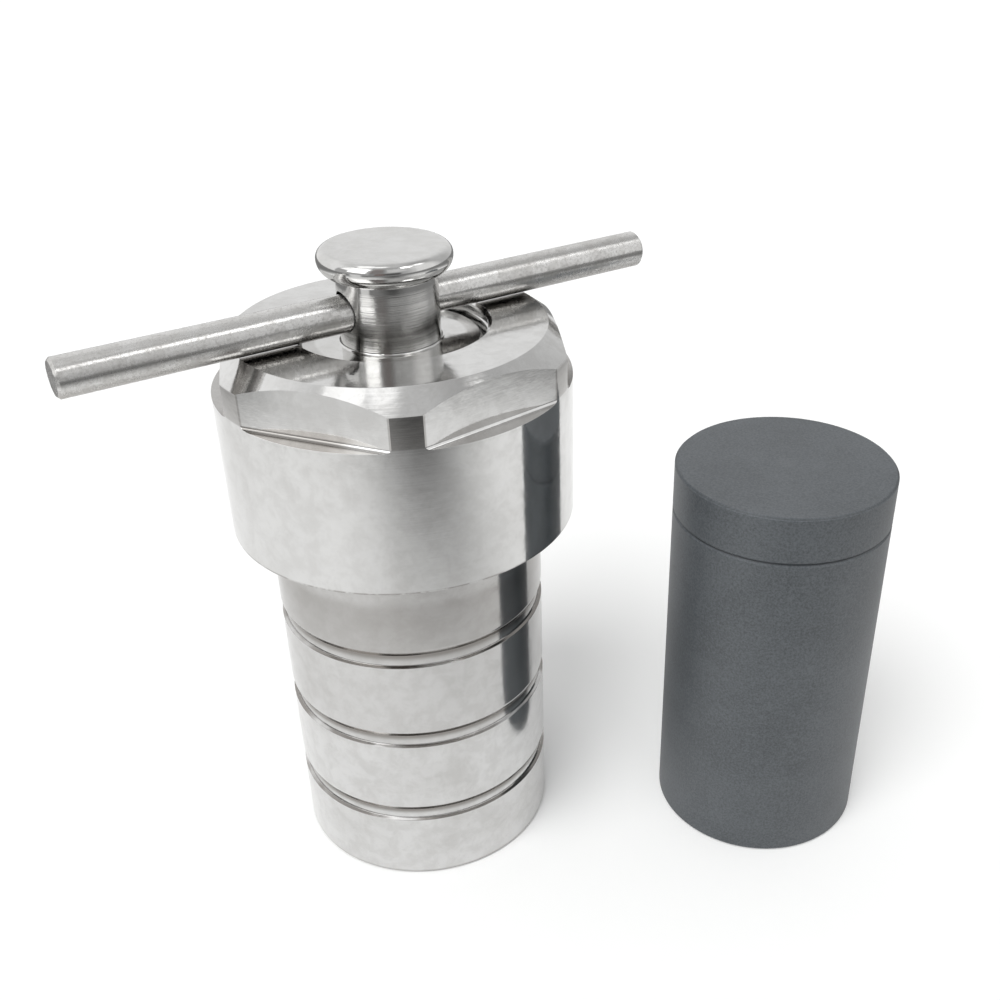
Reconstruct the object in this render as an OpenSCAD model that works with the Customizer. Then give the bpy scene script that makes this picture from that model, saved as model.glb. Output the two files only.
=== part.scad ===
// Hydrothermal synthesis reactor: a steel cup with a hexagonal screw cap, a press
// screw turned by a tommy bar, and the plastic liner vessel standing beside it.
// Millimetres, +Z up. The origin is the centre of the steel cup's base.

/* [Liner] */
// Outside diameter of the liner
liner_d = 45.8; // [36:0.1:56]
// Height of the liner's cup, up to the lid's seam
liner_cup_h = 77; // [64:0.5:95]
// Thickness of the lid above the seam
lid_t = 10.5; // [8:0.5:14]
// Thickness of the liner's wall
liner_wall = 6.9; // [5:0.1:9]
// Thickness of the liner's floor
liner_floor_t = 9; // [5:0.5:12]
// Radius round the cavity's floor
cavity_round = 4; // [1:0.5:8]
// Step from the cavity's wall out to the mouth that takes the lid's plug
mouth_step = 2.5; // [1.5:0.1:3]
// Depth of the mouth
mouth_h = 6; // [4:0.5:10]
// Chamfer on the liner's and the lid's outer edges
liner_chamfer = 0.5; // [0.2:0.1:1]
// Chamfer on the lid's plug
plug_chamfer = 0.8; // [0.3:0.1:1.5]
// Free space between the standing liner and the cap, seen from above
liner_gap = 21.1; // [5:0.1:60]
// Direction in which the liner stands, seen from above
liner_turn = -7.9; // [-40:0.1:40]

/* [Steel cup] */
// Thickness of the cup's wall
cup_wall = 4.9; // [4:0.1:7]
// Thickness of the cup's floor
cup_floor_t = 6; // [4:0.5:10]
// How far the seated liner stands proud of the cup's rim
liner_proud = 0.5; // [0.2:0.1:1]
// Step from the cup's wall in to its thread
cup_shoulder_w = 0.55; // [0.3:0.05:1]
// Height of the threaded end, from its shoulder to the rim
cup_thread_h = 14; // [10:0.5:20]
// Width of the relief groove under the thread
cup_relief_w = 2; // [1:0.1:3]
// Chamfer inside and outside the rim
cup_rim_chamfer = 0.7; // [0.3:0.1:1]
// Radius of the outer edge round the base
cup_base_round = 0.8; // [0.2:0.1:2]
// Diameter of the ejector hole in the floor
ejector_hole_d = 10; // [6:0.5:16]

/* [Grip grooves] */
// Number of grooves round the cup
groove_count = 3; // [1:1:3]
// Height of the lowest groove's middle
groove_first_z = 18; // [10:0.5:20]
// Distance between grooves
groove_pitch = 20.6; // [8:0.1:21]
// Width of a groove's floor
groove_floor_w = 2.4; // [1:0.1:4]
// Width of the sloping side above the floor
groove_upper_w = 1.3; // [0.2:0.1:2]
// Width of the steep side below the floor
groove_lower_w = 0.3; // [0.2:0.1:2]
// Depth of a groove
groove_depth = 0.6; // [0.2:0.1:1.2]

/* [Bottom pad] */
// Thickness of the pad on the cup's floor
pad_t = 3; // [2:0.1:5]
// Chamfer on the pad's edges
pad_chamfer = 0.5; // [0.2:0.1:1]
// Step from the cup's bore in to the recess that holds the pad
pad_ledge = 0.8; // [0.4:0.1:2]

/* [Screw cap] */
// Thickness of the cap's wall round the cup
cap_wall = 7; // [5.5:0.1:10]
// Depth of the plain skirt that reaches below the cup's shoulder
cap_skirt = 2.5; // [1:0.1:4]
// Thickness of the cap's top
cap_top_t = 14.9; // [12:0.1:18]
// Width of the conical chamfer round the deck
cap_chamfer_w = 4.7; // [3.5:0.1:6]
// Height of the conical chamfer
cap_chamfer_h = 3.6; // [2:0.1:5]
// Rounding of the cap's lower edge
cap_edge_round = 0.2; // [0.1:0.1:1.5]
// Width of the thread's run-out groove inside the cap
cap_relief_w = 4; // [2:0.1:5]
// How far that groove reaches below the cup's rim
cap_relief_lead = 0.5; // [0.2:0.1:1]
// Depth of the relief and run-out grooves behind the threads
relief_depth = 0.7; // [0.3:0.1:1.2]
// Radius between the chamber's wall and its ceiling
chamber_round = 1.2; // [0.5:0.1:2]

/* [Spanner flats] */
// Depth of a flat below the round of the cap
flat_depth = 3.35; // [1.5:0.05:4]
// Height of a flat, from the deck down to its shelf
flat_h = 10.3; // [7:0.1:14]
// Radius between a flat and its shelf
flat_round = 0.7; // [0.4:0.1:1.4]
// Direction of one corner between flats
flat_turn = 32; // [0:1:59]

/* [Press plate] */
// How far the plate reaches out past the cup's bore
plate_seat = 2.4; // [1.5:0.1:3]
// Thickness of the press plate
plate_t = 5; // [4:0.1:7]
// Free space over the plate when it lies on the cup's rim
plate_room = 3; // [2.8:0.1:5]
// Depth of the recess for the press screw's nose
plate_recess = 1.5; // [0.8:0.1:2]
// Chamfer on the plate's edges
plate_chamfer = 0.6; // [0.2:0.1:1]

/* [Press screw] */
// Diameter at which the press screw's and the cap's threads meet
press_thread_d = 37.4; // [30:0.1:44]
// Chamfer at both ends of the threaded hole
hole_chamfer = 0.4; // [0.2:0.1:1]
// Depth of the disc's top below the deck when the screw is home
disc_sink = 2.8; // [2.6:0.1:5]
// Width of the chamfer round the disc
disc_chamfer_w = 1.6; // [0.5:0.1:2.5]
// Height of the chamfer round the disc
disc_chamfer_h = 1.4; // [0.5:0.1:2.5]
// Diameter of the nose that centres the press plate
nose_d = 16; // [10:0.5:24]
// Diameter of the neck
neck_d = 19.3; // [16:0.1:24]
// Radius at the foot of the neck
neck_foot_round = 0.5; // [0.2:0.1:1]
// Height of solid neck between the cross hole and the head
neck_over_hole = 2.1; // [1:0.1:4]
// Radius between the neck and the head
neck_head_round = 0.3; // [0.2:0.1:1]
// How far the head reaches out past the neck
head_overhang = 3.1; // [2.6:0.1:4]
// Radius of the head's lower edge
head_low_round = 3.2; // [2.6:0.1:4]
// Radius of the head's upper edge
head_top_round = 1.9; // [1:0.1:3]

/* [Tommy bar] */
// Diameter of the bar
bar_d = 7.2; // [5:0.1:9]
// Length of the bar
bar_l = 120.5; // [90:0.5:200]
// Distance from the screw's axis to the bar's middle, along the bar
bar_shift = -1.8; // [-30:0.1:30]
// Direction of the bar, seen from above
bar_turn = 25.6; // [0:0.1:90]
// Chamfer at the bar's ends
bar_chamfer = 0.5; // [0.3:0.1:1.5]

/* [Clearances] */
// Radial play between mating threads
thread_play = 0.05; // [0.02:0.01:0.1]
// Radial play between the cap's skirt and the cup
skirt_play = 0.3; // [0.2:0.05:0.6]
// Radial play between the liner and the cup's bore
liner_play = 0.2; // [0.1:0.05:0.5]
// Radial play between the lid's plug and the liner's mouth
plug_play = 0.1; // [0.05:0.01:0.2]
// Gap under the lid's plug
plug_gap = 0.3; // [0.2:0.1:1]
// Radial play between the bottom pad and its recess
pad_play = 0.2; // [0.1:0.05:0.5]
// Radial play between the press plate and its chamber
plate_play = 1; // [0.5:0.1:1.5]
// Radial play between the nose and its recess
nose_play = 0.3; // [0.2:0.05:0.6]
// Gap between the press plate's face and the threaded disc
disc_gap = 0.3; // [0.2:0.1:1]
// Play between the bar and its cross hole, on the diameter
bar_play = 0.6; // [0.3:0.1:2]
// Gap between the bar and the bottom of its cross hole
bar_rest_gap = 0.05; // [0.02:0.01:0.1]
// Height of the cross hole's bottom over the deck when the screw is home
bar_deck_gap = 0.3; // [0.2:0.1:2]

/* [Hidden] */
$fn = 96;

// Extra length of cutting shapes past the faces they cut
over = 1;
// Number of spanner flats
flats = 6;

steel = [0.78, 0.78, 0.77];
polished = [0.84, 0.84, 0.83];
liner_grey = [0.20, 0.22, 0.25];

// Diameters, from the liner outwards
cup_bore_d = liner_d + 2 * liner_play;
cup_d = cup_bore_d + 2 * cup_wall;
cup_thread_d = cup_d - 2 * cup_shoulder_w;
cap_thread_d = cup_thread_d + 2 * thread_play;
skirt_d = cup_d + 2 * skirt_play;
cap_d = cup_d + 2 * cap_wall;
flats_d = cap_d - 2 * flat_depth;
cavity_d = liner_d - 2 * liner_wall;
mouth_d = cavity_d + 2 * mouth_step;
plug_d = mouth_d - 2 * plug_play;
pad_recess_d = cup_bore_d - 2 * pad_ledge;
pad_d = pad_recess_d - 2 * pad_play;
plate_d = cup_bore_d + 2 * plate_seat;
chamber_d = plate_d + 2 * plate_play;
disc_d = press_thread_d - 2 * thread_play;
recess_d = nose_d + 2 * nose_play;
head_d = neck_d + 2 * head_overhang;
bar_hole_d = bar_d + bar_play;

// Heights, from the base upwards
cup_h = cup_floor_t + pad_t + liner_cup_h + lid_t - liner_proud;
shoulder_z = cup_h - cup_thread_h;
cap_z = shoulder_z - cap_skirt;
ceiling_z = cup_h + plate_t + plate_room;
deck_z = ceiling_z + cap_top_t;
nose_z = cup_h + plate_t - plate_recess;
disc_z = cup_h + plate_t + disc_gap;
disc_top_z = deck_z - disc_sink;
bar_hole_z = deck_z + bar_deck_gap + bar_hole_d / 2;
bar_z = deck_z + bar_deck_gap + bar_rest_gap + bar_d / 2;
head_z = bar_hole_z + bar_hole_d / 2 + neck_over_hole;
head_h = head_low_round + head_top_round;

// Place of the liner on the bench
liner_distance = cap_d / 2 + liner_gap + liner_d / 2;
liner_place = liner_distance * [cos(liner_turn), sin(liner_turn), 0];

// A profile drawn as radius and height, turned about the Z axis
module turned() {
    rotate_extrude() children();
}

// Waste outside a round of radius r in the corner at the origin.
// The material lies towards +X and +Y.
module corner_waste(r) {
    difference() {
        translate([-over, -over]) square(r + over);
        translate([r, r]) circle(r);
    }
}

// Waste outside a chamfer in the corner at the origin.
// The material lies towards +X and +Y.
module chamfer_waste(w, h) {
    polygon([[-over, -over], [w, -over], [w, 0], [0, h], [-over, h]]);
}

// A disc standing on z = 0 with the same chamfer on both edges
module disc_profile(d, t, chamfer) {
    difference() {
        square([d / 2, t]);
        translate([d / 2, 0]) mirror([1, 0]) chamfer_waste(chamfer, chamfer);
        translate([d / 2, t]) rotate(180) chamfer_waste(chamfer, chamfer);
    }
}

// One grip groove about z = 0, sloping above its floor and steep below it
module groove_waste() {
    edge_z = (groove_lower_w + groove_floor_w + groove_upper_w) / 2;
    translate([cup_d / 2, 0]) polygon([
        [over, -edge_z], [0, -edge_z], [-groove_depth, groove_lower_w - edge_z],
        [-groove_depth, edge_z - groove_upper_w], [0, edge_z], [over, edge_z]
    ]);
}

module steel_cup() {
    bore_r = cup_bore_d / 2;
    thread_r = cup_thread_d / 2;
    color(steel) turned() difference() {
        union() {
            square([cup_d / 2, shoulder_z]);
            square([thread_r, cup_h]);
        }
        // Bore, with the pad's recess under it and its lead-in at the rim
        translate([0, cup_floor_t]) square([pad_recess_d / 2, cup_h]);
        translate([0, cup_floor_t + pad_t]) square([bore_r, cup_h]);
        translate([bore_r, cup_h]) mirror([0, 1])
            chamfer_waste(cup_rim_chamfer, cup_rim_chamfer);
        // Outer edges of the rim and of the base
        translate([thread_r, cup_h]) rotate(180)
            chamfer_waste(cup_rim_chamfer, cup_rim_chamfer);
        translate([cup_d / 2, 0]) mirror([1, 0]) corner_waste(cup_base_round);
        // Relief groove between the shoulder and the thread
        translate([thread_r - relief_depth, shoulder_z])
            square([relief_depth + over, cup_relief_w]);
        // Ejector hole
        translate([0, -over]) square([ejector_hole_d / 2, cup_floor_t + 2 * over]);
        // Grip grooves
        for (i = [0 : groove_count - 1])
            translate([0, groove_first_z + i * groove_pitch]) groove_waste();
    }
}

module bottom_pad() {
    color(steel) translate([0, 0, cup_floor_t]) turned()
        disc_profile(pad_d, pad_t, pad_chamfer);
}

// Section of the hollow inside the cap, from the skirt up to the ceiling
module cap_hollow() {
    translate([0, cap_z - over]) square([skirt_d / 2, cap_skirt + over]);
    translate([0, cap_z]) square([cap_thread_d / 2, cup_h - cap_z]);
    translate([0, cup_h - cap_relief_lead])
        square([cap_thread_d / 2 + relief_depth, cap_relief_w]);
    difference() {
        translate([0, cap_z]) square([chamber_d / 2, ceiling_z - cap_z]);
        translate([chamber_d / 2, ceiling_z]) rotate(180) corner_waste(chamber_round);
    }
}

// Section of the cap before the flats are milled
module cap_profile() {
    cap_r = cap_d / 2;
    hole_r = press_thread_d / 2;
    difference() {
        translate([0, cap_z]) square([cap_r, deck_z - cap_z]);
        cap_hollow();
        // Conical chamfer and rounded lower edge
        translate([cap_r, deck_z]) rotate(180) chamfer_waste(cap_chamfer_w, cap_chamfer_h);
        translate([cap_r, cap_z]) mirror([1, 0]) corner_waste(cap_edge_round);
        // Threaded hole for the press screw, chamfered at both ends
        square([hole_r, deck_z + over]);
        translate([hole_r, deck_z]) mirror([0, 1]) chamfer_waste(hole_chamfer, hole_chamfer);
        translate([hole_r, ceiling_z]) chamfer_waste(hole_chamfer, hole_chamfer);
    }
}

// Waste outside one spanner flat, left by a round-nosed cutter. The flat faces
// +X at x = 0 and its shelf lies at z = 0.
module flat_waste() {
    rotate([90, 0, 0]) linear_extrude(height = cap_d, center = true) difference() {
        square([cap_d, flat_h + over]);
        corner_waste(flat_round);
    }
}

module screw_cap() {
    color(steel) difference() {
        turned() cap_profile();
        for (i = [0 : flats - 1])
            rotate([0, 0, flat_turn + (i + 0.5) * 360 / flats])
                translate([flats_d / 2, 0, deck_z - flat_h]) flat_waste();
    }
}

module press_plate() {
    color(steel) translate([0, 0, cup_h]) turned() difference() {
        disc_profile(plate_d, plate_t, plate_chamfer);
        translate([0, plate_t - plate_recess]) square([recess_d / 2, plate_recess + over]);
    }
}

// Section of the threaded disc, standing on z = 0
module threaded_disc_profile(t) {
    disc_r = disc_d / 2;
    difference() {
        square([disc_r, t]);
        translate([disc_r, 0]) mirror([1, 0]) chamfer_waste(disc_chamfer_w, disc_chamfer_h);
        translate([disc_r, t]) rotate(180) chamfer_waste(disc_chamfer_w, disc_chamfer_h);
    }
}

// Section of the mushroom head, standing on z = 0. The round under it touches
// both the neck and the head's lower edge.
module head_profile() {
    head_r = head_d / 2;
    low_r = head_r - head_low_round;
    round_r = neck_d / 2 + neck_head_round;
    reach = head_low_round + neck_head_round;
    round_z = head_low_round - sqrt(pow(reach, 2) - pow(round_r - low_r, 2));
    difference() {
        square([head_r, head_h]);
        translate([head_r, 0]) mirror([1, 0]) corner_waste(head_low_round);
        translate([head_r, head_h]) rotate(180) corner_waste(head_top_round);
    }
    difference() {
        polygon([
            [0, round_z], [round_r, round_z],
            [low_r, head_low_round], [0, head_low_round]
        ]);
        translate([round_r, round_z]) circle(neck_head_round);
    }
}

module press_screw() {
    neck_r = neck_d / 2;
    color(polished) difference() {
        turned() {
            translate([0, nose_z]) square([nose_d / 2, disc_z - nose_z]);
            translate([0, disc_z]) threaded_disc_profile(disc_top_z - disc_z);
            translate([0, disc_top_z]) square([neck_r, head_z - disc_top_z]);
            // Round at the foot of the neck
            translate([neck_r, disc_top_z]) difference() {
                square(neck_foot_round);
                translate([neck_foot_round, neck_foot_round]) circle(neck_foot_round);
            }
            translate([0, head_z]) head_profile();
        }
        // Cross hole for the tommy bar
        translate([0, 0, bar_hole_z]) rotate([0, 90, bar_turn])
            cylinder(d = bar_hole_d, h = cap_d, center = true);
    }
}

module tommy_bar() {
    color(polished) translate([0, 0, bar_z]) rotate([0, 0, bar_turn])
        translate([bar_shift - bar_l / 2, 0, 0]) rotate([0, 90, 0])
            turned() disc_profile(bar_d, bar_l, bar_chamfer);
}

module liner_cup() {
    color(liner_grey) translate(liner_place) turned() difference() {
        disc_profile(liner_d, liner_cup_h, liner_chamfer);
        // Cavity with a rounded floor
        difference() {
            translate([0, liner_floor_t]) square([cavity_d / 2, liner_cup_h]);
            translate([cavity_d / 2, liner_floor_t]) mirror([1, 0])
                corner_waste(cavity_round);
        }
        // Mouth for the lid's plug
        translate([0, liner_cup_h - mouth_h]) square([mouth_d / 2, mouth_h + over]);
    }
}

module liner_lid() {
    plug_h = mouth_h - plug_gap;
    color(liner_grey) translate(liner_place + [0, 0, liner_cup_h]) turned() {
        disc_profile(liner_d, lid_t, liner_chamfer);
        translate([0, -plug_h]) difference() {
            square([plug_d / 2, plug_h]);
            translate([plug_d / 2, 0]) mirror([1, 0])
                chamfer_waste(plug_chamfer, plug_chamfer);
        }
    }
}

steel_cup();
bottom_pad();
screw_cap();
press_plate();
press_screw();
tommy_bar();
liner_cup();
liner_lid();
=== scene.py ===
# Looks for the hydrothermal reactor: materials, cut threads, light and camera.
import math

import bpy
import numpy as np
from mathutils import Matrix, Vector


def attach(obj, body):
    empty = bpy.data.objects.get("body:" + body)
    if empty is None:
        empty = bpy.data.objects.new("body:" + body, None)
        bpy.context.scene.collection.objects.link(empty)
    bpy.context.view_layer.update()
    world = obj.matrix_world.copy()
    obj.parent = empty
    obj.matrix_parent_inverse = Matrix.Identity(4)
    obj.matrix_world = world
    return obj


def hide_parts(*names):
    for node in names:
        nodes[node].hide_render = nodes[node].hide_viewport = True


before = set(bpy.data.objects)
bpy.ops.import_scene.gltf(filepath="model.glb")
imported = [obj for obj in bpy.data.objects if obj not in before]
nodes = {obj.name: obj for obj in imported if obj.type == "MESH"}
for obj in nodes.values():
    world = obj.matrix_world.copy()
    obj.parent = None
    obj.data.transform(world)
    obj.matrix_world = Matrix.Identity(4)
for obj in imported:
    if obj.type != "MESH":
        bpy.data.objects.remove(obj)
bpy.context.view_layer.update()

MM = 0.001


# ---------------------------------------------------------------- mesh code

class Skin:
    """Collects quads with their normals, in millimetres, and joins them into one mesh."""

    def __init__(self, angles):
        self.angles = np.asarray(angles, float)
        self.quads, self.normals = [], []

    def strip(self, a, b, normals_a, normals_b, cols=None):
        """Quads between two rows of points, each with its own row of normals."""
        quad = np.stack([a[:-1], a[1:], b[1:], b[:-1]], axis=1)
        norm = np.stack([normals_a[:-1], normals_a[1:], normals_b[1:], normals_b[:-1]], axis=1)
        if cols is not None:
            quad, norm = quad[cols], norm[cols]
        self.quads.append(quad)
        self.normals.append(norm)

    def at(self, r, z):
        """Points at radius r and height z, one for each angle."""
        r = np.broadcast_to(np.asarray(r, float), self.angles.shape)
        z = np.broadcast_to(np.asarray(z, float), self.angles.shape)
        return np.stack([r * np.cos(self.angles), r * np.sin(self.angles), z], axis=1)

    def turn(self, p, q, normal_p=None, normal_q=None, cols=None, inner=False):
        """The surface between two profile points. Without normals it is straight."""
        (r0, z0), (r1, z1) = p, q
        if normal_p is None:
            dr = np.broadcast_to(np.asarray(r1, float) - r0, self.angles.shape)
            dz = np.broadcast_to(np.asarray(z1, float) - z0, self.angles.shape)
            size = np.maximum(np.hypot(dr, dz), 1e-9)
            side = -1.0 if inner else 1.0
            normal_p = normal_q = (side * dz / size, -side * dr / size)
        self.strip(self.at(r0, z0), self.at(r1, z1), self.at(*normal_p), self.at(*normal_q), cols)

    def profile(self, points, steps=6):
        """Turns an open profile whose corners are (r, z), or (r, z, radius) where they are
        rounded. Material is on the left."""
        path = []
        for i, (r, z, *rounding) in enumerate(points):
            corner = np.array((r, z))
            if not rounding:
                path.append((corner, corner, None))
                continue
            rad = rounding[0]
            a = np.array(points[i - 1][:2]) - corner
            b = np.array(points[i + 1][:2]) - corner
            a, b = a / np.hypot(*a), b / np.hypot(*b)
            half = math.acos(max(-1.0, min(1.0, float(a @ b)))) / 2
            reach = rad / math.tan(half)
            centre = corner + (a + b) / np.hypot(*(a + b)) * rad / math.sin(half)
            path.append((corner + a * reach, corner + b * reach, centre))
        for (_, p, _), (q, _, _) in zip(path, path[1:]):
            if np.hypot(*(q - p)) > 1e-6:
                self.turn(p, q)
        for i, (start, end, centre) in enumerate(path):
            if centre is None:
                continue
            before = start - path[i - 1][1]
            out = np.array((before[1], -before[0])) / max(np.hypot(*before), 1e-9)
            side = 1.0 if (start - centre) @ out > 0 else -1.0
            u, v = start - centre, end - centre
            rad = np.hypot(*u)
            full = math.acos(max(-1.0, min(1.0, float(u @ v) / rad ** 2)))
            last = None
            for k in range(steps + 1):
                t = k / steps
                w = (math.sin((1 - t) * full) * u + math.sin(t * full) * v) / math.sin(full)
                here = (centre + w, side * w / rad)
                if last is not None:
                    self.turn(last[0], here[0], last[1], here[1])
                last = here

    def thread(self, z0, z1, radius, depth, pitch, limit, inner):
        """A right-hand thread cut outward into a hole or inward into a shaft. limit gives the
        radius of the chamfered blank at a height. Returns its first and last rows."""
        turns = self.angles / (2 * math.pi)
        sign = 1.0 if inner else -1.0
        slope = depth * math.tan(math.radians(30)) / pitch
        crest = 0.125
        knots = [crest, crest + slope, 1 - crest - slope, 1 - crest]
        clip = np.maximum if inner else np.minimum

        def cut(z):
            f = np.mod((z - z0) / pitch - turns, 1.0)
            d = np.interp(f, [0, *knots, 1], [0, 0, 1, 1, 0, 0])
            return clip(radius + sign * depth * d, limit(z))

        rows = []
        for t in range(-2, int((z1 - z0) / pitch) + 2):
            for f in knots:
                z = np.clip(z0 + pitch * (t + f + turns), z0, z1)
                rows.append((cut(z), z))
        for (ra, za), (rb, zb) in zip(rows, rows[1:]):
            self.turn((ra, za), (rb, zb), inner=inner)
        return rows[0], rows[-1]

    def mesh(self, name):
        quads = np.concatenate(self.quads)
        norms = np.concatenate(self.normals)
        flat = np.round(quads.reshape(-1, 3), 5)
        points, index = np.unique(flat, axis=0, return_inverse=True)
        index = index.reshape(-1, 4)
        faces, corner_normals = [], []
        for ids, n, q in zip(index, norms, quads):
            keep = [k for k in range(4) if ids[k] != ids[k - 1]]
            if len(keep) < 3 or len(set(ids[keep])) < 3:
                continue
            p = q[keep]
            face_n = np.cross(p[1] - p[0], p[2] - p[0])
            if len(keep) == 4:
                face_n = np.cross(p[2] - p[0], p[3] - p[1])
            if face_n @ n[keep].sum(0) < 0:
                keep, face_n = keep[::-1], -face_n
            faces.append([int(i) for i in ids[keep]])
            for k in keep:
                # A corner where the strip has no width takes the face's own normal
                corner_normals.append(n[k] if n[k] @ n[k] > 0.01 else face_n)
        data = bpy.data.meshes.new(name)
        data.from_pydata(points * MM, [], faces)
        data.polygons.foreach_set("use_smooth", [True] * len(faces))
        size = np.linalg.norm(corner_normals, axis=1, keepdims=True)
        data.normals_split_custom_set((np.array(corner_normals) / size).tolist())
        data.update()
        obj = bpy.data.objects.new(name, data)
        bpy.context.scene.collection.objects.link(obj)
        return obj


# ---------------------------------------------------------------- steel cup

CUP_R, CUP_H, BORE_R = 28.0, 96.0, 23.1
GROOVES, GROOVE_DEPTH = (18.0, 38.6, 59.2), 0.6
SHOULDER_Z, RELIEF_R, RELIEF_H = 82.0, 26.75, 2.0
CUP_THREAD_R, CUP_PITCH, CUP_DEPTH = 27.45, 1.5, 0.62
MOUTH_R, MOUTH_Z = 23.8, 95.3
FLOOR_Z, PAD_R, PAD_Z, EJECTOR_R = 9.0, 22.3, 6.0, 5.0


def steel_cup():
    s = Skin(np.linspace(0, 2 * math.pi, 289))
    outline = [(EJECTOR_R, 0.0), (CUP_R, 0.0, 0.8)]
    for z in GROOVES:
        # The lower side is steep and the upper side leaves in a wide round
        outline += [(CUP_R, z - 2.0, 0.08), (CUP_R - GROOVE_DEPTH, z - 1.7, 0.15),
                    (CUP_R - GROOVE_DEPTH, z + 0.7, 0.5), (CUP_R, z + 2.0, 1.5)]
    thread_z = SHOULDER_Z + RELIEF_H
    s.profile(outline + [(CUP_R, SHOULDER_Z, 0.12), (RELIEF_R, SHOULDER_Z), (RELIEF_R, thread_z)])
    blank = lambda z: np.where(z > MOUTH_Z, CUP_THREAD_R - (z - MOUTH_Z), CUP_THREAD_R)
    first, last = s.thread(thread_z, CUP_H, CUP_THREAD_R, CUP_DEPTH, CUP_PITCH, blank, False)
    s.turn((RELIEF_R, thread_z), first)
    s.turn(last, (MOUTH_R, CUP_H))
    s.profile([(MOUTH_R, CUP_H), (BORE_R, MOUTH_Z, 0.1), (BORE_R, FLOOR_Z), (PAD_R, FLOOR_Z),
               (PAD_R, PAD_Z), (EJECTOR_R, PAD_Z), (EJECTOR_R, 0.0)])
    return s.mesh("cup_body")


# ---------------------------------------------------------------- screw cap

CAP_R, CAP_RIM_Z, RIM_ROUND = 35.0, 79.5, 0.2
DECK_R, DECK_Z, CHAMFER_Z, DECK_ROUND = 30.3, 118.9, 115.3, 0.25
# Six flats, each FLAT_A from the axis, the first turned by FLAT_TURN degrees
FLAT_A, SHELF_Z, FLAT_ROUND, FLAT_TURN = 31.65, 108.6, 0.7, 2.0
PRESS_R, PRESS_PITCH, PRESS_DEPTH, PRESS_CHAMFER = 18.7, 2.0, 0.75, 0.4
CEILING_Z, CEILING_R, CHAMBER_R = 104.0, 23.0, 26.5
CAP_THREAD_R, RUNOUT_R, RUNOUT_TOP, THREAD_TOP, THREAD_LOW = 27.5, 28.2, 99.5, 95.5, 82.0
SKIRT_R = 28.3


def flat_columns():
    """Angles round the cap, with edges of the flats and of their lower rounds among them:
    each angle's distance from the middle of its flat and that middle, in degrees."""
    edge = math.degrees(math.acos(FLAT_A / CAP_R))
    full = math.degrees(math.acos((FLAT_A + FLAT_ROUND) / CAP_R))
    stops, counts = (-30, -edge, -full, full, edge, 30), (5, 7, 33, 7, 5)
    one = np.concatenate([np.linspace(a, b, count)[:-1]
                          for a, b, count in zip(stops, stops[1:], counts)])
    delta = np.concatenate([one] * 6 + [one[:1]])
    centre = FLAT_TURN + 60 * np.concatenate([np.repeat(np.arange(6), len(one)), [6]])
    # The last column of a flat belongs to it, whichever sector its angle is counted in
    near = np.abs(delta[:-1] + delta[1:]) / 2
    near[np.abs(delta[1:] - delta[:-1]) > 30] = 29.0
    return delta, centre, near < edge, near < full


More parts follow.
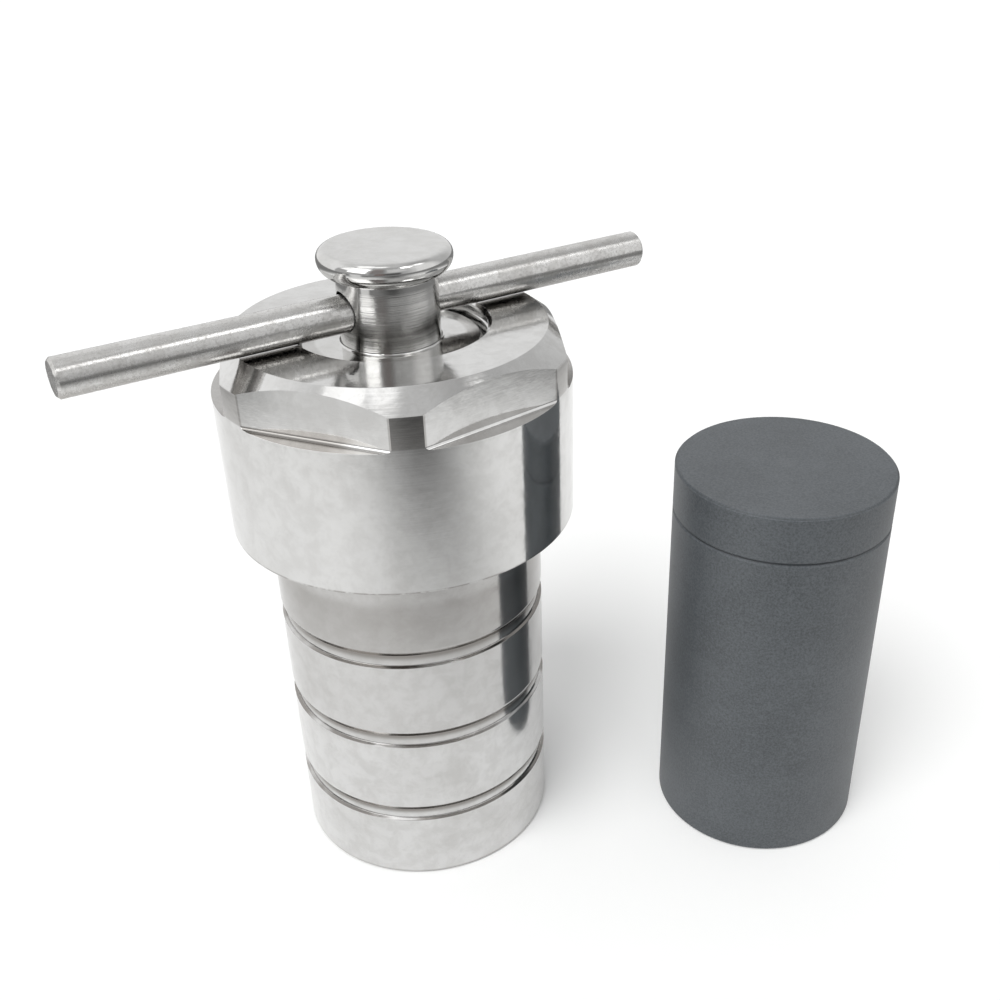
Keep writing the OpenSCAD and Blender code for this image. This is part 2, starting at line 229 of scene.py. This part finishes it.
def screw_cap():
    delta, centre, milled, shelf = flat_columns()
    s = Skin(np.radians(centre + delta))
    cos = np.cos(np.radians(delta))
    face = np.stack([np.cos(np.radians(centre)), np.sin(np.radians(centre)), 0 * centre], axis=1)
    up = np.array([0.0, 0.0, 1.0])

    # Round side, up to the shelf, and the lands between the flats
    shelf_a = FLAT_A + FLAT_ROUND
    z_flat = SHELF_Z + FLAT_ROUND
    a0 = np.arcsin(np.clip((shelf_a - CAP_R * cos) / FLAT_ROUND, 0, 1))
    s.turn((CAP_R, CAP_RIM_Z + RIM_ROUND), (CAP_R, SHELF_Z + FLAT_ROUND * (1 - np.cos(a0))))
    s.turn((CAP_R, z_flat), (CAP_R, CHAMFER_Z), cols=~milled)
    # Shelf
    s.turn((CAP_R, SHELF_Z), (shelf_a / cos, SHELF_Z), cols=shelf)
    # Round between shelf and flat, left by the cutter
    steps = 8
    last = None
    for k in range(steps + 1):
        a = a0 + (math.pi / 2 - a0) * k / steps
        pos = s.at((shelf_a - FLAT_ROUND * np.sin(a)) / cos, z_flat - FLAT_ROUND * np.cos(a))
        nor = face * np.sin(a)[:, None] + up * np.cos(a)[:, None]
        if last is not None:
            s.strip(last[0], pos, last[1], nor, milled)
        last = (pos, nor)
    # Flat, up to the cone
    r_meet = np.minimum(FLAT_A / cos, CAP_R)
    z_meet = CHAMFER_Z + (CAP_R - r_meet) * (DECK_Z - CHAMFER_Z) / (CAP_R - DECK_R)
    s.strip(s.at(FLAT_A / cos, z_flat), s.at(r_meet, z_meet), face, face, milled)
    # Cone, with its top edge eased, and the deck
    slope = math.atan2(DECK_Z - CHAMFER_Z, CAP_R - DECK_R)
    ease = DECK_ROUND * math.tan(slope / 2)
    cone_n = (math.sin(slope), math.cos(slope))
    cone_top = (DECK_R + ease * math.cos(slope), DECK_Z - ease * math.sin(slope))
    s.turn((r_meet, z_meet), cone_top, cone_n, cone_n)
    steps = 4
    last = None
    for k in range(steps + 1):
        a = slope * (1 - k / steps)
        here = ((DECK_R - ease + DECK_ROUND * math.sin(a),
                 DECK_Z - DECK_ROUND + DECK_ROUND * math.cos(a)), (math.sin(a), math.cos(a)))
        if last is not None:
            s.turn(last[0], here[0], last[1], here[1])
        last = here
    # Threaded hole, chamfered at both ends
    low, high = CEILING_Z + PRESS_CHAMFER, DECK_Z - PRESS_CHAMFER
    blank = lambda z: PRESS_R + np.maximum(np.maximum(low - z, z - high), 0)
    first, top = s.thread(CEILING_Z, DECK_Z, PRESS_R, PRESS_DEPTH, PRESS_PITCH, blank, True)
    s.turn((DECK_R - ease, DECK_Z), (top[0], top[1]))
    # Ceiling, chamber, run-out groove, thread and skirt
    s.turn((first[0], CEILING_Z), (CEILING_R, CEILING_Z))
    s.profile([(CEILING_R, CEILING_Z), (CHAMBER_R, CEILING_Z, 1.2), (CHAMBER_R, RUNOUT_TOP),
               (RUNOUT_R, RUNOUT_TOP), (RUNOUT_R, THREAD_TOP)])
    plain = lambda z: CAP_THREAD_R + 0 * z
    bottom, top = s.thread(THREAD_LOW, THREAD_TOP, CAP_THREAD_R, CUP_DEPTH, CUP_PITCH, plain, True)
    s.turn((RUNOUT_R, THREAD_TOP), top)
    s.turn(bottom, (SKIRT_R, THREAD_LOW))
    s.profile([(SKIRT_R, THREAD_LOW), (SKIRT_R, CAP_RIM_Z), (CAP_R, CAP_RIM_Z, RIM_ROUND),
               (CAP_R, CAP_RIM_Z + RIM_ROUND)], steps=4)
    return s.mesh("cap_body")


# ---------------------------------------------------------------- materials

BLACK, WHITE = (0.0, 0.0, 0.0, 1), (1.0, 1.0, 1.0, 1)


class Nodes:
    """Short names for building a node tree."""

    def __init__(self, name):
        self.material = bpy.data.materials.new(name)
        self.material.use_nodes = True
        self.tree = self.material.node_tree
        self.tree.nodes.clear()
        self.out = self.add("ShaderNodeOutputMaterial")
        self.shader = self.add("ShaderNodeBsdfPrincipled")
        self.link(self.shader.outputs[0], self.out.inputs[0])
        self.place = self.add("ShaderNodeTexCoord").outputs["Object"]

    def add(self, kind, **settings):
        node = self.tree.nodes.new(kind)
        for key, value in settings.items():
            setattr(node, key, value)
        return node

    def link(self, a, b):
        self.tree.links.new(a, b)

    def put(self, socket, value):
        if isinstance(value, bpy.types.NodeSocket):
            self.link(value, socket)
        else:
            socket.default_value = value

    def math(self, op, a, b=0.0, c=0.0, clamp=False):
        node = self.add("ShaderNodeMath", operation=op, use_clamp=clamp)
        for socket, value in zip(node.inputs, (a, b, c)):
            self.put(socket, value)
        return node.outputs[0]

    def times(self, a, b):
        return self.math("MULTIPLY", a, b)

    def less(self, value, amount, share):
        """The value, lessened by a share of itself where amount is 1."""
        return self.times(value, self.math("MULTIPLY_ADD", amount, -share, 1.0))

    def length(self, a, b):
        return self.math("SQRT", self.math("ADD", self.times(a, a), self.times(b, b)))

    def split(self, vector):
        node = self.add("ShaderNodeSeparateXYZ")
        self.link(vector, node.inputs[0])
        return node.outputs

    def join(self, x, y, z):
        node = self.add("ShaderNodeCombineXYZ")
        for socket, value in zip(node.inputs, (x, y, z)):
            self.put(socket, value)
        return node.outputs[0]

    def place_from(self, centre):
        """Object coordinates counted from a centre."""
        if not any(centre):
            return self.place
        shift = self.add("ShaderNodeVectorMath", operation="SUBTRACT")
        self.link(self.place, shift.inputs[0])
        shift.inputs[1].default_value = centre
        return shift.outputs[0]

    def noise(self, vector, scale, detail=3.0, rough=0.55, distortion=0.0):
        node = self.add("ShaderNodeTexNoise")
        self.link(vector, node.inputs["Vector"])
        node.inputs["Scale"].default_value = scale
        node.inputs["Detail"].default_value = detail
        node.inputs["Roughness"].default_value = rough
        node.inputs["Distortion"].default_value = distortion
        return node.outputs["Fac"]

    def ramp(self, value, low, high, a=0.0, b=1.0):
        """Goes smoothly from a to b while the value goes from low to high."""
        node = self.add("ShaderNodeMapRange", interpolation_type="SMOOTHSTEP")
        for socket, v in zip(node.inputs, (value, low, high, a, b)):
            self.put(socket, v)
        return node.outputs[0]

    def between(self, value, low, high, soft):
        """1 between two limits, fading to 0 over the given distance outside them."""
        return self.times(self.ramp(value, low - soft, low), self.ramp(value, high + soft, high))

    def mix(self, factor, a, b):
        node = self.add("ShaderNodeMix", data_type="RGBA")
        self.put(node.inputs[0], factor)
        self.put(node.inputs[6], a)
        self.put(node.inputs[7], b)
        return node.outputs[2]

    def bump(self, height, strength, distance, normal=None):
        node = self.add("ShaderNodeBump")
        node.inputs["Strength"].default_value = strength
        node.inputs["Distance"].default_value = distance
        self.link(height, node.inputs["Height"])
        if normal is not None:
            self.link(normal, node.inputs["Normal"])
        return node.outputs[0]


# A darker grey, for duller steel and for painted shade
DULL_STEEL_AND_SHADE = (0.275, 0.26, 0.245, 1)
STAINS, SPECKS, SPECK_ROUGHNESS = 0.5, 0.3, 0.18
# Depth of the bumps, in metres
FINE_LINES, WIDE_LINES, GRAIN, WAVES, RIDGES = 0.00002, 0.00006, 0.00003, 0.0012, 0.00005


def steel(name, base, worn, rough, axis=None, centre=(0, 0, 0), lines=0.15, shade=None,
          ridges=None):
    """Turned stainless steel. It was turned about Z, or about the horizontal line at the angle
    axis. shade gives how much of the clean colour is kept, lowered where shade is painted, and
    what to add to the roughness, and ridges where tool marks are deep, from radius and height."""
    m = Nodes(name)
    place = m.place_from(centre)
    if axis is None:
        x, y, z = m.split(place)
    else:
        turn = m.add("ShaderNodeVectorRotate", rotation_type="Z_AXIS")
        m.link(place, turn.inputs["Vector"])
        turn.inputs["Angle"].default_value = -axis
        z, x, y = m.split(turn.outputs[0])
    radius = m.length(x, y)
    rings = m.join(radius, 0.0, z)
    fine = m.noise(rings, 2600.0, 2.0, 0.6)
    wide = m.noise(rings, 420.0, 3.0, 0.6)
    cloud = m.noise(place, 55.0, 4.0, 0.6, 0.4)
    grain = m.noise(place, 900.0, 2.0, 0.6)
    pit = m.noise(place, 260.0, 5.0, 0.7, 0.2)
    mottle = m.noise(place, 260.0, 6.0, 0.7, 0.3)

    speck = m.ramp(pit, 0.66, 0.78, 0.0, SPECKS)
    tone = m.math("ADD", m.ramp(cloud, 0.40, 0.72, 0.0, STAINS), speck, clamp=True)
    tone = m.math("ADD", tone, m.ramp(mottle, 0.38, 0.62, 0.0, STAINS), clamp=True)
    colour = m.mix(tone, (*base, 1), (*worn, 1))
    spread = m.math("MULTIPLY_ADD", wide, rough * 0.35, rough * 0.72)
    spread = m.math("MULTIPLY_ADD", cloud, rough * 0.35, spread)
    spread = m.math("ADD", spread, m.ramp(mottle, 0.45, 0.65, 0.0, 0.05))
    if shade is not None:
        polish_and_shade, dull = shade(m, radius, z, y)
        # Where the finish is duller, and where shade is painted, the colour goes to the darker
        # grey
        colour = m.mix(polish_and_shade, DULL_STEEL_AND_SHADE, colour)
        spread = m.math("ADD", spread, dull)
    spread = m.math("ADD", spread, m.times(speck, SPECK_ROUGHNESS))
    m.link(colour, m.shader.inputs["Base Color"])
    m.link(spread, m.shader.inputs["Roughness"])
    m.shader.inputs["Metallic"].default_value = 1.0

    normal = m.bump(fine, lines, FINE_LINES)
    normal = m.bump(wide, lines * 0.6, WIDE_LINES, normal)
    normal = m.bump(grain, 0.10, GRAIN, normal)
    normal = m.bump(cloud, 0.05, WAVES, normal)
    if ridges is not None:
        marks = m.times(m.noise(rings, 9000.0, 1.0, 0.5), ridges(m, radius, z))
        normal = m.bump(marks, 0.5, RIDGES, normal)
    m.link(normal, m.shader.inputs["Normal"])
    if axis is not None:
        # Highlights run along its length
        along = m.add("ShaderNodeVectorTransform", vector_type="VECTOR", convert_from="OBJECT",
                      convert_to="WORLD")
        along.inputs[0].default_value = (math.cos(axis), math.sin(axis), 0.0)
        m.link(along.outputs[0], m.shader.inputs["Tangent"])
        m.shader.inputs["Anisotropic"].default_value = 0.8
    return m.material


def cup_shade(m, radius, z, y):
    """The bands between the grooves are darker the higher they are, as painted shade under the
    cap. The bore is matt.
    """
    # Painted shade: darker towards the cap
    polish_and_shade = m.ramp(z, 0.0350, 0.0385, 1.0, 0.84)
    for low, high, share in ((0.0570, 0.0595, 0.64), (0.0600, 0.0710, 0.74),
                             (0.0710, 0.0735, 1.60)):
        polish_and_shade = m.times(polish_and_shade, m.ramp(z, low, high, 1.0, share))
    # Painted shade under the upper side of each groove and here and there on its lower edge
    cloud = m.noise(m.place, 40.0, 3.0, 0.6)
    deep = m.between(radius, 0.0262, 0.02768, 0.00033)
    for groove in GROOVES:
        side = m.times(deep, m.between(z, (groove + 0.5) * MM, (groove + 2.2) * MM, 0.0013))
        edge = m.between(z, (groove - 2.0) * MM, (groove - 1.75) * MM, 0.00012)
        groove_shade = m.math("MAXIMUM", side, m.times(edge, m.ramp(cloud, 0.40, 0.52)))
        polish_and_shade = m.less(polish_and_shade, groove_shade, 0.95)
    # and painted shade round the foot, where it stands on the floor
    polish_and_shade = m.times(polish_and_shade, m.ramp(z, 0.0002, 0.0011, 0.25, 1.0))
    bore = m.ramp(radius, 0.0240, 0.0236)
    return polish_and_shade, m.times(bore, 0.30)


def cap_shade(m, radius, z, y):
    """The corners between the flats and the milled shelves are darker than the rest, and the
    shelves rougher.
    """
    corner = m.times(m.ramp(radius, 0.03478, 0.03490), m.between(z, 0.1094, 0.1150, 0.0005))
    inside = m.ramp(radius, 0.03497, 0.03490)
    shelf = m.times(inside, m.between(z, 0.10850, 0.10866, 0.0001))
    polish_and_shade = m.math("SUBTRACT", 1.0, m.times(corner, 0.55))
    polish_and_shade = m.math("SUBTRACT", polish_and_shade, m.times(shelf, 0.50))
    # Painted shade on the front left shelf and in the round above it
    px, py, _ = m.split(m.place)
    turned = m.math("DEGREES", m.math("ARCTAN2", py, px))
    left = m.times(m.between(turned, -152, -112, 10), m.between(z, 0.10850, 0.10915, 0.0003))
    polish_and_shade = m.less(polish_and_shade, m.times(left, inside), 0.85)
    # Painted shade along the lower rim, in patches
    blotches = m.noise(m.place, 330.0, 3.0, 0.7)
    low = m.ramp(z, CAP_RIM_Z * MM + 0.00055, CAP_RIM_Z * MM + 0.0002)
    rim = m.times(m.times(low, m.ramp(radius, 0.0340, 0.0346)),
                  m.ramp(blotches, 0.40, 0.56, 0.20, 0.75))
    return m.less(polish_and_shade, rim, 1.0), m.times(shelf, 0.12)


def bar_shade(m, radius, z, y):
    """The underside is darkened as painted shade, and the whole bar has small nicks and dirt."""
    blotches = m.noise(m.place, 1900.0, 4.0, 0.7)
    # Painted shade: the underside is darkened
    under = m.ramp(y, -0.0036, -0.0008, 0.10, 1.0)
    polish_and_shade = m.times(under, m.ramp(blotches, 0.34, 0.54, 0.70, 1.0))
    return polish_and_shade, m.times(m.ramp(blotches, 0.36, 0.56, 1.0, 0.0), 0.10)


def screw_shade(m, radius, z, y):
    """The disc around the neck is duller than the head."""
    disc = m.times(m.ramp(radius, 0.0142, 0.0150), m.ramp(z, 0.1172, 0.1162))
    return m.math("SUBTRACT", 1.0, m.times(disc, 0.32)), m.times(disc, 0.05)


def neck_ridges(m, radius, z):
    """The neck under the head was left as turned."""
    return m.times(m.ramp(radius, 0.0152, 0.0146), m.between(z, 0.1168, 0.1275, 0.0008))


LINER = (0.07825, -0.010858, 0.0)
SEAM_Z, LINER_TOP, LINER_R = 0.0770, 0.0875, 0.0229
RESIN_DARK, RESIN_PALE = (0.024, 0.031, 0.037, 1), (0.082, 0.094, 0.105, 1)
RESIN_LINE, RESIN_MARK = (0.012, 0.015, 0.018, 1), (0.16, 0.17, 0.18, 1)


def resin(name, centre):
    """Matte filled resin with a fine speckle and faint turning marks."""
    m = Nodes(name)
    x, y, z = m.split(m.place_from(centre))
    radius = m.length(x, y)
    rings = m.join(radius, 0.0, z)
    speckle = m.noise(m.place, 2300.0, 2.0, 0.7)
    cloud = m.noise(m.place, 45.0, 4.0, 0.6)
    turned = m.noise(rings, 1300.0, 3.0, 0.7)
    tone = m.math("ADD", m.times(speckle, 0.7), m.times(cloud, 0.3))
    tone = m.math("MULTIPLY_ADD", turned, 0.08, m.times(tone, 0.92))
    colour = m.mix(m.ramp(tone, 0.32, 0.68), RESIN_DARK, RESIN_PALE)
    # The seam and the lid's rim are darker lines
    seam = m.between(z, SEAM_Z - 0.00008, SEAM_Z + 0.00008, 0.0002)
    rim = m.times(m.ramp(radius, LINER_R - 0.00045, LINER_R - 0.00020),
                  m.ramp(z, LINER_TOP - 0.00045, LINER_TOP - 0.0002))
    colour = m.mix(m.times(m.math("MAXIMUM", seam, rim), 0.6), colour, RESIN_LINE)
    # A turned centre mark on the lid
    colour = m.mix(m.ramp(radius, 0.0008, 0.0030, 0.12, 0.0), colour, RESIN_MARK)
    m.link(colour, m.shader.inputs["Base Color"])
    m.link(m.math("MULTIPLY_ADD", speckle, 0.14, 0.42), m.shader.inputs["Roughness"])
    m.shader.inputs["Specular IOR Level"].default_value = 1.0
    normal = m.bump(speckle, 0.25, 0.00008)
    normal = m.bump(turned, 0.08, 0.00003, normal)
    m.link(normal, m.shader.inputs["Normal"])
    return m.material


def paint(obj, material):
    obj.data.materials.clear()
    obj.data.materials.append(material)


BAR_TURN = math.radians(25.6)
BAR_CENTRE = (0, 0, 0.12285)

body_steel = steel("body_steel", (0.705, 0.704, 0.70), (0.57, 0.565, 0.555), 0.10,
                   shade=cup_shade)
cap_steel = steel("cap_steel", (0.71, 0.709, 0.702), (0.60, 0.595, 0.585), 0.075,
                  shade=cap_shade)
screw_steel = steel("screw_steel", (0.67, 0.668, 0.66), (0.57, 0.565, 0.55), 0.08,
                    shade=screw_shade, ridges=neck_ridges)
bar_steel = steel("bar_steel", (0.70, 0.695, 0.685), (0.53, 0.52, 0.50), 0.24, axis=BAR_TURN,
                  centre=BAR_CENTRE, lines=0.1, shade=bar_shade)
inner_steel = steel("inner_steel", (0.60, 0.60, 0.59), (0.48, 0.47, 0.45), 0.40)
liner_resin = resin("liner_resin", LINER)

cup = steel_cup()
paint(cup, body_steel)
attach(cup, "shell")
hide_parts("steel_cup")
cap = screw_cap()
paint(cap, cap_steel)
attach(cap, "cap")
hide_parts("screw_cap")
for piece, material in (("press_screw", screw_steel), ("tommy_bar", bar_steel),
                        ("bottom_pad", inner_steel), ("press_plate", inner_steel),
                        ("liner_cup", liner_resin), ("liner_lid", liner_resin)):
    paint(nodes[piece], material)


# ---------------------------------------------------------------- floor and walls

def direction(azimuth, elevation):
    """A unit vector, from degrees counted from +X toward +Y and up from the floor."""
    a, e = math.radians(azimuth), math.radians(elevation)
    return (math.cos(a) * math.cos(e), math.sin(a) * math.cos(e), math.sin(e))


def stage(name, points, faces, material):
    """A mesh that belongs to the studio, not to the part."""
    data = bpy.data.meshes.new(name)
    data.from_pydata(points, [], faces)
    obj = bpy.data.objects.new(name, data)
    bpy.context.scene.collection.objects.link(obj)
    obj.data.materials.append(material)
    return obj


# The paper as the eye sees it, and as polished metal reflects it
PAPER, PAPER_REFLECTED = (0.88, 0.885, 0.88, 1), (0.90, 0.90, 0.895, 1)
PAPER_GLOW, REFLECTED_GLOW = 0.14, 0.06
# Painted shadows in the reflected paper: x, y, width and depth in metres, and how dim
REFLECTED_SHADOWS = ((0.044, -0.296, 0.086, 0.096, 0.80), (0.090, -0.195, 0.050, 0.085, 0.30),
           (0.110, -0.560, 0.130, 0.160, 0.60))


def floor_material():
    """White paper. In reflections it gets dim beyond 24 to 34 cm, except to the front left."""
    m = Nodes("floor_paper")
    m.shader.inputs["Roughness"].default_value = 0.9
    m.shader.inputs["Specular IOR Level"].default_value = 0.1
    x, y, _ = m.split(m.place)
    reach = m.length(x, y)
    angle = m.math("ARCTAN2", y, x)
    tone = m.ramp(reach, 0.235, 0.335, 1.02, 0.24)
    turned = m.math("ABSOLUTE", m.math("SUBTRACT", angle, math.radians(-141)))
    tone = m.math("MAXIMUM", tone, m.ramp(turned, 0.12, 0.26, 0.82, 0.0))
    for x0, y0, wide, deep, amount in REFLECTED_SHADOWS:
        dx = m.math("DIVIDE", m.math("SUBTRACT", x, x0), wide)
        dy = m.math("DIVIDE", m.math("SUBTRACT", y, y0), deep)
        far = m.math("ADD", m.times(dx, dx), m.times(dy, dy))
        tone = m.less(tone, m.math("EXPONENT", m.times(far, -0.5)), amount)
    path = m.add("ShaderNodeLightPath").outputs
    glossy = path["Is Glossy Ray"]
    grey = m.mix(tone, BLACK, PAPER_REFLECTED)
    # Close to the cup's right side the paper is darker, as in a deeper shadow
    side = m.times(m.ramp(angle, -0.9, -0.2), m.ramp(angle, 2.0, 1.2))
    paper = m.mix(m.times(side, m.ramp(reach, 0.050, 0.028, 0.0, 0.13)), PAPER, BLACK)
    m.link(m.mix(glossy, paper, grey), m.shader.inputs["Base Color"])
    m.shader.inputs["Emission Color"].default_value = WHITE
    seen = m.math("ADD", path["Is Camera Ray"], path["Is Transmission Ray"], clamp=True)
    glow = m.math("ADD", m.times(seen, PAPER_GLOW),
                  m.times(glossy, m.times(tone, REFLECTED_GLOW)))
    m.link(glow, m.shader.inputs["Emission Strength"])
    return m.material


# Tones of the room above the floor, as polished metal reflects it
ROOM, RIGHT_SIDE, OVERHEAD, FRONT_LOW, FRONT_HIGH = 0.50, 1.02, 0.66, 0.12, 0.75
WINDOW, PANE, LAMP, STRONG_LAMP = 1.50, 2.5, 1.9, 4.0
WARM = (0.62, 0.42, 0.38, 1)
# Round patches: azimuth, elevation, radius and soft edge, in degrees
WINDOWS = ((-167, 70, 7.8, 1.5), (-144, 46, 13, 3), (152, 73, 6, 2), (-145, 84, 5.5, 4))
LAMPS = (((-8, 55, 5, 4), LAMP), ((-40, 58, 6, 3), STRONG_LAMP))


def walls_material():
    """What polished metal reflects above the floor: a bright wall behind and to the right, a
    window to the left, and a dimmer room in front with a dark strip in it."""
    m = Nodes("studio_walls")
    m.tree.nodes.remove(m.shader)
    emit = m.add("ShaderNodeEmission")
    m.link(emit.outputs[0], m.out.inputs[0])
    unit = m.add("ShaderNodeVectorMath", operation="NORMALIZE")
    m.link(m.place, unit.inputs[0])
    x, y, z = m.split(unit.outputs[0])
    azimuth = m.math("DEGREES", m.math("ARCTAN2", y, x))
    height = m.math("DEGREES", m.math("ARCSINE", z))

    def patch(at, up, radius, soft):
        dot = m.add("ShaderNodeVectorMath", operation="DOT_PRODUCT")
        m.link(unit.outputs[0], dot.inputs[0])
        dot.inputs[1].default_value = direction(at, up)
        inner, outer = math.cos(math.radians(radius)), math.cos(math.radians(radius + soft))
        return m.ramp(dot.outputs["Value"], outer, inner)

    def panel(left, right, soft, low, high, soft_height):
        return m.times(m.between(azimuth, left, right, soft),
                       m.between(height, low, high, soft_height))

    def toward(amount, tone, target):
        return m.math("MULTIPLY_ADD", amount, m.math("SUBTRACT", target, tone), tone)

    right = m.times(m.ramp(azimuth, -62, -26), m.ramp(azimuth, 20, -8))
    tone = toward(m.times(right, m.ramp(height, 60, 40)), ROOM, RIGHT_SIDE)
    wall = m.math("ADD", m.ramp(azimuth, 30, 80, 0.60, 0.93), m.ramp(azimuth, 98, 125, 0.0, 0.14))
    wall = m.times(wall, m.ramp(height, 44, 60, 1.0, 0.78))
    tone = toward(m.ramp(azimuth, 8, 26), tone, wall)
    tone = toward(m.ramp(height, 66, 78), tone, OVERHEAD)
    strip = m.times(m.between(azimuth, -115, -95, 5), m.ramp(height, 66, 46))
    tone = m.less(tone, strip, 0.36)
    low = m.times(m.between(azimuth, -90, -70, 8), m.ramp(height, 22, 10))
    tone = toward(low, tone, FRONT_LOW)
    tone = toward(panel(-84, -58, 6, 30, 48, 12), tone, FRONT_HIGH)
    window = panel(-174, -134, 5, 31, 56, 4)
    for spot in WINDOWS:
        window = m.math("MAXIMUM", window, patch(*spot))
    tone = toward(window, tone, WINDOW)
    tone = toward(panel(-155, -126, 4, 18, 56, 5), tone, PANE)
    for spot, strength in LAMPS:
        tone = toward(patch(*spot), tone, strength)
    warm = m.math("MAXIMUM", m.times(panel(-116, -98, 4, 20, 60, 6), 0.35),
                  m.times(patch(-101, 4, 7, 4), 0.8))
    m.link(m.mix(warm, WHITE, WARM), emit.inputs["Color"])
    m.link(tone, emit.inputs["Strength"])
    return m.material


def walls(rings=24, around=72, size=2.0):
    """A bowl over the scene that only reflections see."""
    points = [[size * c for c in direction(360 * k / around, -2 + 92 * i / (rings - 1))]
              for i in range(rings) for k in range(around)]
    faces = []
    for i in range(rings - 1):
        for k in range(around):
            n = (k + 1) % around
            faces.append((i * around + k, i * around + n, (i + 1) * around + n,
                          (i + 1) * around + k))
    obj = stage("studio_walls", points, faces, walls_material())
    obj.location = (0, 0, 0.1)
    obj.visible_camera = obj.visible_diffuse = obj.visible_shadow = False
    obj.visible_transmission = False


FLOOR_HALF = 3
stage("floor", [(-FLOOR_HALF, -FLOOR_HALF, 0), (FLOOR_HALF, -FLOOR_HALF, 0),
                (FLOOR_HALF, FLOOR_HALF, 0), (-FLOOR_HALF, FLOOR_HALF, 0)],
      [(0, 1, 2, 3)], floor_material())
walls()


# ---------------------------------------------------------------- light

LIGHT_ON_THINGS, LIGHT_SEEN = 0.56, 1.0
world = bpy.data.worlds.new("world")
bpy.context.scene.world = world
world.use_nodes = True
tree = world.node_tree
back = tree.nodes["Background"]
path = tree.nodes.new("ShaderNodeLightPath")
level = tree.nodes.new("ShaderNodeMapRange")
tree.links.new(path.outputs["Is Camera Ray"], level.inputs[0])
level.inputs[3].default_value = LIGHT_ON_THINGS
level.inputs[4].default_value = LIGHT_SEEN
tree.links.new(level.outputs[0], back.inputs["Strength"])
back.inputs["Color"].default_value = WHITE

SUN_AZIMUTH, SUN_HEIGHT, SUN_ON_FLOOR = -130, 58, 0.50
sun = bpy.data.lights.new("key", "SUN")
sun.energy = SUN_ON_FLOOR * math.pi / math.sin(math.radians(SUN_HEIGHT))
sun.angle = math.radians(34)
key = bpy.data.objects.new("key", sun)
bpy.context.scene.collection.objects.link(key)
toward_sun = Vector(direction(SUN_AZIMUTH, SUN_HEIGHT))
key.rotation_euler = toward_sun.to_track_quat("Z", "Y").to_euler()
key.visible_glossy = False


# ---------------------------------------------------------------- camera, fitted to the photo

CAMERA_AT = (0.0, -0.21907, 0.20189)
SENSOR_MM, FOCAL_SHARE = 36.0, 1.1887
yaw, pitch, roll = math.radians(8.883), math.radians(31.533), math.radians(-0.199)
forward = Vector((math.sin(yaw) * math.cos(pitch), math.cos(yaw) * math.cos(pitch),
                  -math.sin(pitch)))
right = Vector((math.cos(yaw), -math.sin(yaw), 0))
upward = right.cross(forward)
right, upward = (right * math.cos(roll) + upward * math.sin(roll),
                 upward * math.cos(roll) - right * math.sin(roll))
lens = bpy.data.cameras.new("camera")
lens.sensor_width = SENSOR_MM
lens.lens = FOCAL_SHARE * SENSOR_MM
lens.shift_x, lens.shift_y = -0.0677, 0.0438
lens.clip_start = 0.01
camera = bpy.data.objects.new("camera", lens)
bpy.context.scene.collection.objects.link(camera)
turn = Matrix((right, upward, -forward)).transposed().to_4x4()
camera.matrix_world = Matrix.Translation(CAMERA_AT) @ turn
bpy.context.scene.camera = camera
bpy.context.scene.view_settings.view_transform = "Standard"
